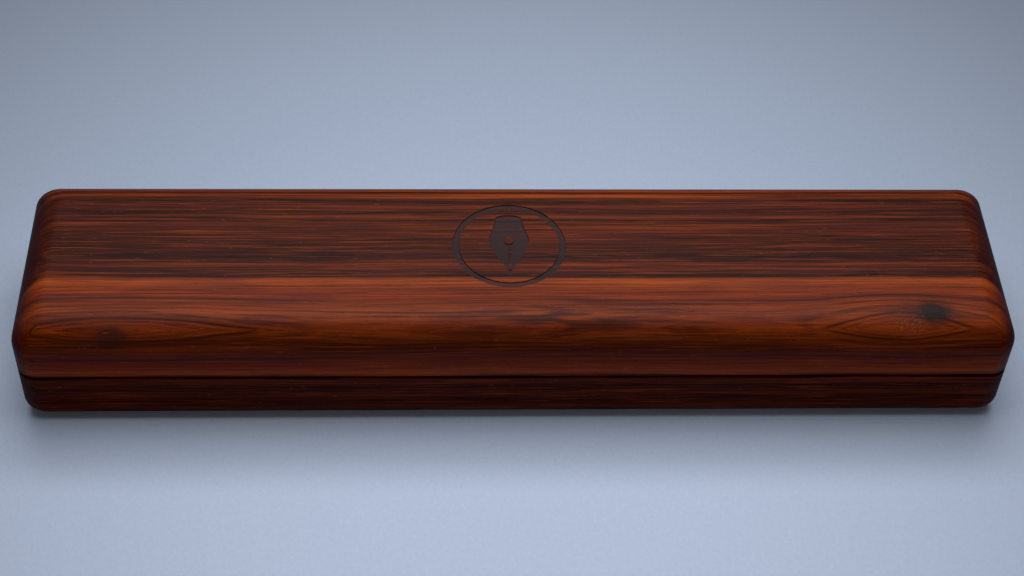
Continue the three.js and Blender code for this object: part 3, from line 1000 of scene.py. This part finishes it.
def emblem_cutter(face):
    curve = bpy.data.curves.new("emblem", "CURVE")
    curve.dimensions = "2D"
    curve.fill_mode = "BOTH"
    curve.resolution_u = 10
    curve.extrude = EMBLEM_DEPTH

    def closed(points):
        """Adds a closed run of (place, handle before, handle after)."""
        spline = curve.splines.new("BEZIER")
        spline.bezier_points.add(len(points) - 1)
        spline.use_cyclic_u = True
        for knot, (place, before, after) in zip(spline.bezier_points, points):
            knot.handle_left_type = knot.handle_right_type = "FREE"
            knot.co = (place[0] * MM, place[1] * MM, 0)
            knot.handle_left = (before[0] * MM, before[1] * MM, 0)
            knot.handle_right = (after[0] * MM, after[1] * MM, 0)

    def round_hole(radius, y=0.0):
        k = CIRCLE_HANDLE * radius
        closed([
            ((radius, y), (radius, y - k), (radius, y + k)),
            ((0, y + radius), (k, y + radius), (-k, y + radius)),
            ((-radius, y), (-radius, y + k), (-radius, y - k)),
            ((0, y - radius), (-k, y - radius), (k, y - radius)),
        ])

    left = [((-p[0], p[1]), (-a[0], a[1]), (-b[0], b[1])) for p, b, a in reversed(NIB_SIDE[1:-1])]
    closed(NIB_SIDE + left)
    round_hole(EMBLEM_RADIUS / MM)
    round_hole((EMBLEM_RADIUS - EMBLEM_RING) / MM)
    round_hole(BREATHER_RADIUS, BREATHER_Y)
    slit = SLIT_HALF_WIDTH
    top, bottom = SLIT_ENDS
    ends = [(slit, top), (-slit, top), (-slit, bottom), (slit, bottom)]
    closed([(end, end, end) for end in ends])
    drawn = new_piece("emblem", curve)
    ready = drawn.evaluated_get(bpy.context.evaluated_depsgraph_get())
    mesh = bpy.data.meshes.new_from_object(ready)
    bpy.data.objects.remove(drawn)
    mesh.transform(Matrix.Translation((*EMBLEM_MIDDLE, face)))
    return tidy(mesh)


# %% [markdown]
# ## Both halves
# The lid is bent, cut and marked the right way up. The base is the same recipe with a smaller
# roundover, turned over by a mirror, so its faces are turned outwards again before it is cut. Each
# half then takes the place of its packed shell.

# %% Make both halves
TOP_ROUND = 6.4 * MM
BOTTOM_ROUND = 4.2 * MM
FLOOR_THICKNESS = 3.0 * MM
ROOF_THICKNESS = 3.2 * MM
SHARP_WOOD = 25
BASE_START = 4.0
# The scorched place, in millimetres: its middle, its reach, and its top and bottom.
SCORCHED = (
    EMBLEM_MIDDLE / MM,
    (EMBLEM_RADIUS + 0.3 * MM) / MM,
    TOP / MM - 0.02,
    (TOP - EMBLEM_DEPTH) / MM + 0.05,
)
lid_wood = rosewood("rosewood, lid", LID_RINGS, TOP, KNOTS, emblem=SCORCHED)
base_wood = rosewood("rosewood, base", BASE_RINGS, BASE_RIM, start=BASE_START)

lid_block = rounded_half_recipe(TOP_ROUND, TOP - LID_RIM, lid_wood).mesh("lid block", [(0, 0, 0)])
lid_block.transform(Matrix.Translation((0, 0, LID_RIM)))
lid_cutters = rim_cutters("lid", LID_RIM, 1)
lid_cutters.append(recess_cutter(LID_RIM, TOP - ROOF_THICKNESS, -1))
lid_cutters.append(emblem_cutter(TOP))
lid_mesh = carve(tidy(lid_block), lid_cutters)
smooth_to(lid_mesh, SHARP_WOOD)
finished(new_piece("lid_half", lid_mesh), "lid", lid_wood, ["lid_shell"])

base_block = rounded_half_recipe(BOTTOM_ROUND, BASE_RIM, base_wood).mesh("base block", [(0, 0, 0)])
turned_over = Matrix.Scale(-1, 4, (0, 0, 1))
base_block.transform(Matrix.Translation((0, 0, BASE_RIM)) @ turned_over)
base_cutters = rim_cutters("base", BASE_RIM, -1)
base_cutters.append(recess_cutter(BASE_RIM, FLOOR_THICKNESS, 1))
base_mesh = carve(tidy(base_block), base_cutters)
smooth_to(base_mesh, SHARP_WOOD)
finished(new_piece("base_half", base_mesh), "base", base_wood, ["base_shell"])

# %% [markdown]
# ## The metal finishes
# The hinges are sheet brass, brushed along their length and gone a little dull, with a darker film
# where fingers don't reach. Screws are turned from brass bar, so their fine marks go round. The
# magnets are nickel plated. Each finish is one even metal whose roughness and colour wander.


# %% Make brass, nickel, foam and card
def brushed_metal(name, bright, dull, roughness, brush=(0.3, 9.0, 9.0)):
    finish = Finish(name, Metallic=1.0)
    marks = finish.noise(finish.place(brush), 1.0, 3)
    cloud = finish.noise(finish.place(), 0.35, 3)
    film = finish.smooth(cloud, 0.40, 0.72)
    finish.sends(
        Base_Color=finish.mixed(film * 0.7, (*bright, 1), (*dull, 1)),
        Roughness=roughness + film * 0.14 + marks * 0.12,
    )
    finish.bumps(marks, 0.006, 0.5)
    return finish.material


def cellular_foam():
    """Fine closed cells, which are pits in a matt grey face."""
    finish = Finish("foam", Roughness=0.95, Specular_IOR_Level=0.2)
    cells = finish.add("ShaderNodeTexVoronoi", None, {"Vector": finish.place(), "Scale": 2.2})
    finish.sends(Base_Color=finish.mixed(cells, (0.035, 0.035, 0.038, 1), (0.095, 0.095, 0.10, 1)))
    finish.bumps(cells, 0.15)
    return finish.material


def grey_card():
    """Pulp board, with flecks of its fibres."""
    finish = Finish("liner card", Roughness=0.9, Specular_IOR_Level=0.3)
    flecks = finish.noise(finish.place((1.2, 2.4, 2.4)), 1.6, 5, 0.7)
    finish.sends(Base_Color=finish.mixed(flecks, (0.16, 0.12, 0.085, 1), (0.42, 0.34, 0.25, 1)))
    finish.bumps(flecks, 0.04)
    return finish.material


ROUND_AND_ROUND = (4.0, 4.0, 12.0)
UNBRUSHED = (1.5, 1.5, 1.5)
brass = brushed_metal("brushed brass", (0.66, 0.46, 0.19), (0.36, 0.22, 0.085), 0.24)
screw_brass = brushed_metal(
    "turned brass", (0.70, 0.49, 0.21), (0.40, 0.25, 0.10), 0.20, ROUND_AND_ROUND
)
nickel = brushed_metal("nickel plate", (0.62, 0.61, 0.58), (0.42, 0.41, 0.39), 0.16, UNBRUSHED)
foam = cellular_foam()
card = grey_card()
for node in ("base_board", "lid_board"):
    board = frame["nodes"][node]
    board.data.materials.clear()
    board.data.materials.append(card)
print("finishes:", len(bpy.data.materials))

# %% [markdown]
# ## The hinge leaves
# A small butt hinge is two leaves of sheet brass. Each has a flat plate, and every second knuckle
# of the barrel is rolled out of it. A knuckle is a short tube, and a tube is a rectangle swept
# round a circle, so the geometry tree draws one tube and sets a copy at every second place along
# the pin. The plate is a flat outline with countersunk holes, and an exact union welds the two.

# %% Write the recipe of a row of knuckles
BORE_RADIUS = 0.95 * MM
KNUCKLES = 5
KNUCKLE_GAP = 0.1 * MM
TUBE_SIDES = 48


def knuckle_recipe(count, pitch, length, material):
    recipe = Recipe(
        "knuckles",
        Count=count,
        Pitch=2 * pitch,
        Length=length,
        Outside=BARREL_RADIUS,
        Bore=BORE_RADIUS,
    )
    first = recipe["Pitch"] * (recipe["Count"] - 1) * -0.5
    sockets = {
        "Count": recipe["Count"],
        "Start Location": recipe.vector(first, 0.0, 0.0),
        "Offset": recipe.vector(recipe["Pitch"], 0.0, 0.0),
    }
    row = recipe.add("GeometryNodeMeshLine", {"mode": "OFFSET"}, sockets)
    middle = (recipe["Outside"] + recipe["Bore"]) * 0.5
    sockets = {"Resolution": TUBE_SIDES, "Radius": middle}
    round_path = recipe.add("GeometryNodeCurvePrimitiveCircle", None, sockets)
    wall = recipe["Outside"] - recipe["Bore"]
    sockets = {"Width": wall, "Height": recipe["Length"]}
    section = recipe.add("GeometryNodeCurvePrimitiveQuadrilateral", {"mode": "RECTANGLE"}, sockets)
    tube = recipe.add("GeometryNodeCurveToMesh", None, {"Curve": round_path, "Profile Curve": section})
    lying = recipe.add("GeometryNodeTransform", None, {0: tube, "Rotation": (0, math.pi / 2, 0)})
    copies = recipe.add("GeometryNodeInstanceOnPoints", None, {"Points": row, "Instance": lying})
    recipe.ends(copies, material)
    return recipe


# %% [markdown]
# ## One leaf of a hinge
# The plate is a thin block with small round corners. Round rooms are cut in it where the other
# leaf's knuckles turn, and each screw hole widens to a countersink at the face. A narrow bevel
# modifier then takes the sharpness off every edge, as tumbling does, and catches the light.

# %% Make a leaf
LEAF_LENGTH = 22 * MM
LEAF_CORNER = 0.5 * MM
PLATE_SETBACK = 1.1 * MM
KNUCKLE_ROOM = 0.3 * MM
COUNTERSINK_MOUTH = 1.55 * MM
COUNTERSINK_THROAT = 0.95 * MM
SOFT_EDGE = 0.07 * MM


def countersink(node, face, back, into):
    mouth, throat = COUNTERSINK_MOUTH, COUNTERSINK_THROAT
    cone_end = face + into * (mouth - throat)
    sizes = [(face - into * PAST, mouth), (face, mouth), (cone_end, throat), (back + into * PAST, throat)]
    middle = plan_middle(node)
    return skin("countersink", [(z, circle(radius, middle)) for z, radius in sorted(sizes)])


def hinge_leaf(side, half, face, into):
    """One leaf, in its place. into is -1 for the leaf below the pin, and 1 above."""
    node = f"hinge_{side}_{half}_leaf"
    low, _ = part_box(node)
    middle_x, _ = plan_middle(node)
    pitch = LEAF_LENGTH / KNUCKLES
    own = range(0 if half == "base" else 1, KNUCKLES, 2)
    recipe = knuckle_recipe(len(own), pitch, pitch - 2 * KNUCKLE_GAP, brass)
    knuckles = recipe.mesh("knuckles", [(0, 0, 0)])
    knuckles.transform(Matrix.Translation((middle_x, PIN_Y, SEAM)))

    back = face + into * LEAF_THICKNESS
    rear = PIN_Y - PLATE_SETBACK
    points = outline(LEAF_LENGTH, rear - low.y, LEAF_CORNER, (middle_x, (rear + low.y) / 2), 4)
    plate = skin("leaf", [(z, points) for z in sorted((face, back))])
    cutters = []
    for number in range(KNUCKLES):
        if number not in own:
            x = middle_x + (number - (KNUCKLES - 1) / 2) * pitch
            room = pitch / 2 + KNUCKLE_GAP
            radius = BARREL_RADIUS + KNUCKLE_ROOM
            cutters.append(tube_cutter("room", radius, x - room, x + room, PIN_Y, SEAM))
    for number in (1, 2):
        cutters.append(countersink(f"hinge_{side}_{half}_screw_{number}", face, back, into))
    welded = carve(carve(plate, cutters), [tidy(knuckles)], "UNION")
    smooth_to(welded, 30)
    leaf = new_piece(f"hinge_{side}_{half}_plate", welded)
    bevel = leaf.modifiers.new("softened edges", "BEVEL")
    bevel.width = SOFT_EDGE
    bevel.segments = 2
    bevel.limit_method = "ANGLE"
    bevel.angle_limit = math.radians(50)
    return finished(leaf, half, brass, [node])


# %% [markdown]
# ## Turned rods
# Pins and discs come off a lathe, so a few pairs of a height and a radius say all of their shape.
# A screw modifier could spin such a profile, and a skin through circles needs no clean-up.

# %% Turn a rod
DOME_TURNS = (0, 0.5, 0.9, 1.2, 1.45)
DOME_FULLNESS = 0.6


def turned_rod(name, levels, middle, axis="Z"):
    """A piece turned on a lathe: [(height, radius), ...] round an axis through its middle."""
    rod = skin(name, [(z, circle(radius, steps=40)) for z, radius in levels])
    turn = Matrix.Rotation(math.pi / 2, 4, "Y") if axis == "X" else Matrix.Identity(4)
    rod.transform(Matrix.Translation(middle) @ turn)
    tidy(rod, 0.0005 * MM)
    smooth_to(rod, 40)
    return new_piece(name, rod)


def domed(half_length, radius, dome):
    """A rod's levels, with a low dome at both ends."""
    steps = []
    for turn in DOME_TURNS:
        z = half_length - dome * (1 - math.sin(turn))
        steps.append((z, radius * math.cos(turn) ** DOME_FULLNESS))
    return [(-z, r) for z, r in reversed(steps)] + steps


# %% [markdown]
# ## Both hinges
# Each hinge has a leaf below the pin and a leaf above it. The pin rides with the base, and its
# ends are headed over into low domes, which keep it from working out.

# %% Make both hinges
PIN_DOME = 0.3 * MM
for side in ("left", "right"):
    hinge_leaf(side, "base", BASE_RIM, -1)
    hinge_leaf(side, "lid", LID_RIM, 1)
    node = f"hinge_{side}_pin"
    low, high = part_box(node)
    half_length, radius = half_sizes(node)
    pin_levels = domed(half_length, radius, PIN_DOME)
    pin = turned_rod(f"hinge_{side}_brass_pin", pin_levels, (low + high) / 2, "X")
    finished(pin, "base", brass, [node])

# %% [markdown]
# ## The hinge screws
# A countersunk wood screw follows a rule: its radius depends on the depth below the head, and the
# thread adds a ridge that climbs with the angle. The geometry tree bends a flat grid to that rule,
# cuts the slot, and sets a copy at each hole, with each slot at its own angle, as a hand leaves
# them. The random turn has a fixed seed, so that every run is the same.

# %% Write the recipe of a wood screw
SCREW_SEED = 7
SCREW_SIDES = 24
SCREW_LEVELS = 72
SLOT_SIZE = (4 * MM, 0.36 * MM, 0.8 * MM)


def screw_recipe(upside_down, material):
    """Sizes are in millimetres. Land is the straight edge of the head above its cone."""
    recipe = Recipe(
        "wood screw",
        Head=1.4,
        Land=0.08,
        Shank=0.72,
        Core=0.5,
        Thread_start=2.2,
        Ridge=0.26,
        Pitch=0.8,
        Length=7.0,
        Point=1.3,
        Turned_over=math.pi if upside_down else 0.0,
    )
    around, levels = SCREW_SIDES + 1, SCREW_LEVELS
    grid, grid_x, grid_y = unit_grid(recipe, around, levels)
    turn = (grid_x / (around - 1.0) + 0.5) * (2 * math.pi)
    level = recipe.maths("ROUND", grid_y + (levels - 1) / 2)
    share = recipe.maths("MINIMUM", recipe.maths("MAXIMUM", (level - 1) / (levels - 3.0), 0.0), 1.0)
    depth = share * recipe["Length"]
    cone = recipe.maths("MINIMUM", recipe["Head"], recipe["Head"] + recipe["Land"] - depth)
    threaded = recipe.maths("GREATER_THAN", depth, recipe["Thread_start"])
    shank = recipe["Shank"] * (1 - threaded) + recipe["Core"] * threaded
    climb = recipe.maths("FRACT", depth / recipe["Pitch"] + turn / (2 * math.pi))
    ridge = recipe.maths("MAXIMUM", 1 - abs(climb - 0.5) * 4, 0.0) * recipe["Ridge"] * threaded
    tip = recipe.maths("MINIMUM", (recipe["Length"] - depth) / recipe["Point"], 1.0)
    radius = recipe.maths("MAXIMUM", cone, (shank + ridge) * tip)
    below_top = recipe.maths("GREATER_THAN", level, 0.5)
    above_end = recipe.maths("LESS_THAN", level, levels - 1.5)
    radius = radius * (below_top * above_end)
    x = radius * recipe.maths("COSINE", turn) * MM
    y = radius * recipe.maths("SINE", turn) * MM
    position = recipe.vector(x, y, depth * -MM)
    bent = recipe.add("GeometryNodeSetPosition", None, {0: grid, "Position": position})
    closed = recipe.add("GeometryNodeMergeByDistance", None, {0: bent, "Distance": 0.002 * MM})
    slot = recipe.add("GeometryNodeMeshCube", None, {"Size": SLOT_SIZE})
    sockets = {"Mesh 1": closed, "Mesh 2": slot}
    slotted = recipe.add("GeometryNodeMeshBoolean", {"operation": "DIFFERENCE"}, sockets)
    sockets = {2: 0.0, 3: math.pi, "Seed": SCREW_SEED}
    random_turn = recipe.add("FunctionNodeRandomValue", {"data_type": "FLOAT"}, sockets, 1)
    spin = recipe.vector(recipe["Turned_over"], 0.0, random_turn)
    holes = Socket(recipe, recipe.inputs.outputs[0])
    sockets = {"Points": holes, "Instance": slotted, "Rotation": spin}
    copies = recipe.add("GeometryNodeInstanceOnPoints", None, sockets)
    recipe.ends(copies, material)
    return recipe


def hinge_screws(half, rim, upside_down):
    nodes = [f"hinge_{side}_{half}_screw_{number}" for side in ("left", "right") for number in (1, 2)]
    heads = [(*plan_middle(node), rim) for node in nodes]
    mesh = tidy(screw_recipe(upside_down, screw_brass).mesh("screws", heads), 0.0)
    smooth_to(mesh, 32)
    return finished(new_piece(f"{half}_hinge_screws", mesh), half, screw_brass, nodes)


hinge_screws("base", BASE_RIM, False)
hinge_screws("lid", LID_RIM, True)

# %% [markdown]
# ## The magnets
# Four plated discs are pressed into the front rims. A pressed disc has a small chamfer all round,
# which is what catches the light.

# %% Make the magnets
CHAMFER = 0.18 * MM
for half in ("base", "lid"):
    for side in ("left", "right"):
        node = f"magnet_{side}_{half}"
        low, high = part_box(node)
        radius, tall = half_sizes(node)
        narrow = radius - CHAMFER
        levels = [(-tall, narrow), (CHAMFER - tall, radius), (tall - CHAMFER, radius), (tall, narrow)]
        disc = turned_rod(f"{node}_disc", levels, (low + high) / 2)
        finished(disc, half, nickel, [node])

# %% [markdown]
# ## The bed and the pad
# Both are velvet glued over foam. Velvet drawn over an edge makes a soft round, and foam under it
# pushes every free face out a little, but never evenly, because the cloth is held where it is
# glued. A cloth simulation finds that shape: the form is remeshed into even faces, what is glued
# is pinned, and a little air pressure swells the rest. The movement is then scaled to the crown
# that is wanted, and applied. The pile is far finer than any mesh, so it stays in the material.

# %% Swell a form as foam under cloth does
VELVET_THICKNESS = 0.7 * MM
WRAP = 0.9 * MM
AIR_PRESSURE = 8
CLOTH_QUALITY = 4
SWELLING_FRAMES = 20


def even_faces(name, mesh, voxel):
    """The mesh remade of even small faces, with its edges a little softened."""
    form = new_piece(name, mesh)
    remesh = form.modifiers.new("even faces", "REMESH")
    remesh.mode = "VOXEL"
    remesh.voxel_size = voxel
    relax = form.modifiers.new("relax", "SMOOTH")
    relax.factor = 0.5
    relax.iterations = 3
    ready = form.evaluated_get(bpy.context.evaluated_depsgraph_get())
    made = bpy.data.meshes.new_from_object(ready)
    bpy.data.objects.remove(form)
    return made


def swell(name, mesh, is_glued, crown):
    """Blows the form up where it isn't glued, and scales the movement to the wanted crown."""
    glued = [vertex.index for vertex in mesh.vertices if is_glued(vertex.co / MM)]
    print(name, len(mesh.vertices), "points,", len(glued), "glued")
    form = new_piece(name, mesh)
    form.vertex_groups.new(name="glued").add(glued, 1.0, "REPLACE")
    cloth = form.modifiers.new("cloth", "CLOTH")
    cloth.settings.vertex_group_mass = "glued"
    cloth.settings.use_pressure = True
    cloth.settings.uniform_pressure_force = AIR_PRESSURE
    cloth.settings.effector_weights.gravity = 0
    cloth.settings.quality = CLOTH_QUALITY
    cloth.collision_settings.use_collision = False
    cloth.point_cache.frame_end = SWELLING_FRAMES
    for number in range(1, SWELLING_FRAMES + 1):
        bpy.context.scene.frame_set(number)
    ready = form.evaluated_get(bpy.context.evaluated_depsgraph_get())
    moves = [after.co - before.co for after, before in zip(ready.data.vertices, mesh.vertices)]
    most = max(move.length for move in moves)
    share = min(crown / most, 1.0) if most > 0 else 0.0
    bpy.data.objects.remove(form)
    for vertex, move in zip(mesh.vertices, moves):
        vertex.co += move * share
    bpy.context.scene.frame_set(1)
    print(name, "swelled by", round(most / MM, 3), "mm, and keeps", round(most * share / MM, 3), "mm")
    return mesh


def drawn_in(mesh, depth, back, tolerance=0.5 * MM):
    """A copy of the form with its skin moved in, but not the side that is glued to the board."""
    copy = mesh.copy()
    normals = [vertex.normal.copy() for vertex in mesh.vertices]
    for vertex, normal in zip(copy.vertices, normals):
        move = normal * -depth
        if abs(vertex.co.z - back) < tolerance:
            move.z = 0
        vertex.co += move
    return copy


def cover(mesh, back, tolerance=0.3 * MM):
    """The skin of the form as a cloth with a thickness, open where the form is glued down."""
    shape = bmesh.new()
    shape.from_mesh(mesh)
    hidden = [face for face in shape.faces if all(abs(v.co.z - back) < tolerance for v in face.verts)]
    bmesh.ops.delete(shape, geom=hidden, context="FACES")
    shape.to_mesh(mesh)
    shape.free()
    piece = new_piece("cover", mesh)
    rounder = piece.modifiers.new("rounder", "SUBSURF")
    rounder.levels = rounder.render_levels = 1
    wall = piece.modifiers.new("thickness", "SOLIDIFY")
    wall.thickness = VELVET_THICKNESS
    wall.offset = -1
    ready = piece.evaluated_get(bpy.context.evaluated_depsgraph_get())
    made = bpy.data.meshes.new_from_object(ready)
    bpy.data.objects.remove(piece)
    made.shade_smooth()
    return made


def flat_backed(mesh, back, tolerance=0.9 * MM):
    """Takes the softening off the side that is glued to the board."""
    for vertex in mesh.vertices:
        if abs(vertex.co.z - back) < tolerance and abs(vertex.normal.z) > 0.7:
            vertex.co.z = back
    return mesh


def padded_pair(name, form, back, is_glued, crown, voxel, body):
    """Foam and its cover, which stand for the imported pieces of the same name."""
    soft = swell(name, flat_backed(even_faces(name, form, voxel), back), is_glued, crown)
    core = drawn_in(soft, WRAP, back)
    core.shade_smooth()
    core_piece = finished(new_piece(f"{name}_core", core), body, foam, [f"{name}_foam"])
    skin_piece = new_piece(f"{name}_cover", cover(soft, back))
    cover_piece = finished(skin_piece, body, velvet, [f"{name}_velvet"])


# %% [markdown]
# ## The velvet
# Velvet is black where the eye looks down into its pile, and lighter where it looks along it. The
# shader's sheen does that by itself, so the colour only needs the slow marks of a crushed nap and
# the fine grain of the pile.

# %% Make the velvet
def deep_velvet():
    """Black pile: dark seen straight on, lighter at a glancing angle, and crushed here and there."""
    finish = Finish(
        "velvet",
        Roughness=0.95,
        Specular_IOR_Level=0.05,
        Sheen_Weight=0.8,
        Sheen_Roughness=0.4,
        Sheen_Tint=(0.55, 0.58, 0.68, 1),
    )
    nap = finish.noise(finish.place((0.05, 0.16, 0.16)), 1.0, 3)
    pile = finish.noise(finish.place(), 4.5, 2)
    shade = finish.smooth(nap, 0.35, 0.65) * 0.6 + finish.smooth(pile, 0.35, 0.7) * 0.4
    finish.sends(Base_Color=finish.mixed(shade, (0.008, 0.008, 0.010, 1), (0.024, 0.024, 0.029, 1)))
    finish.bumps(pile, 0.12, 0.7)
    return finish.material


velvet = deep_velvet()

# %% [markdown]
# ## The bed with its groove
# The form is a block with the recess's outline, made lower by the crown that the swelling gives
# back. A rod with round ends, cut out of it, leaves the hollow for a pen. Only the top is free:
# the sides are held by the recess and the underside by its board.

# %% Make the bed with its groove
RECESS_ROUND = 5.7 * MM
BED_CROWN = 0.45 * MM
BED_VOXEL = 1.0 * MM
BED_FREE_DEPTH = 1.1
GROOVE_RADIUS = 7 * MM
GROOVE_HALF_LENGTH = 80 * MM
GROOVE_FLOOR = 6.1 * MM
bed_low, bed_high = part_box("pen_bed_velvet")
bed_middle = (bed_low + bed_high) / 2


def groove_cutter(radius, half_length, middle):
    """A rod with round ends, which leaves the hollow of a pen."""
    levels = []
    for step in range(9):
        t = math.pi / 2 * step / 8
        x = half_length - radius + radius * math.sin(t)
        levels.append((x, max(radius * math.cos(t), 0.01 * MM)))
    levels = [(-x, r) for x, r in reversed(levels)] + levels
    rod = skin("groove", [(x, circle(r, steps=40)) for x, r in levels])
    rod.transform(Matrix.Translation(middle) @ Matrix.Rotation(math.pi / 2, 4, "Y"))
    return tidy(rod)


bed_size = (bed_high.x - bed_low.x, bed_high.y - bed_low.y)
bed_outline = outline(*bed_size, RECESS_ROUND, bed_middle.xy)
bed_top = bed_high.z - BED_CROWN
bed_form = skin("bed", [(bed_low.z, bed_outline), (bed_top, bed_outline)])
groove_middle = Vector((0, bed_middle.y, GROOVE_FLOOR + GROOVE_RADIUS))
bed_form = carve(bed_form, [groove_cutter(GROOVE_RADIUS, GROOVE_HALF_LENGTH, groove_middle)])


def bed_is_glued(place):
    return place.z < bed_top / MM - BED_FREE_DEPTH


padded_pair("pen_bed", bed_form, bed_low.z, bed_is_glued, BED_CROWN, BED_VOXEL, "base")

# %% [markdown]
# ## The pad in the lid
# The pad is thin and has no groove, so it is the same work upside down: it is glued to the roof,
# and its lower face swells into one long low pillow.

# %% Make the pad in the lid
PAD_CROWN = 0.9 * MM
PAD_VOXEL = 0.8 * MM
PAD_FREE_DEPTH = 0.6
pad_low, pad_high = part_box("lid_pad_velvet")
pad_middle = (pad_low + pad_high) / 2
pad_outline = outline(pad_high.x - pad_low.x, pad_high.y - pad_low.y, RECESS_ROUND, pad_middle.xy)
pad_face = pad_low.z + PAD_CROWN
pad_form = skin("pad", [(pad_face, pad_outline), (pad_high.z, pad_outline)])


def pad_is_glued(place):
    return place.z > pad_face / MM + PAD_FREE_DEPTH


padded_pair("lid_pad", pad_form, pad_high.z, pad_is_glued, PAD_CROWN, PAD_VOXEL, "lid")
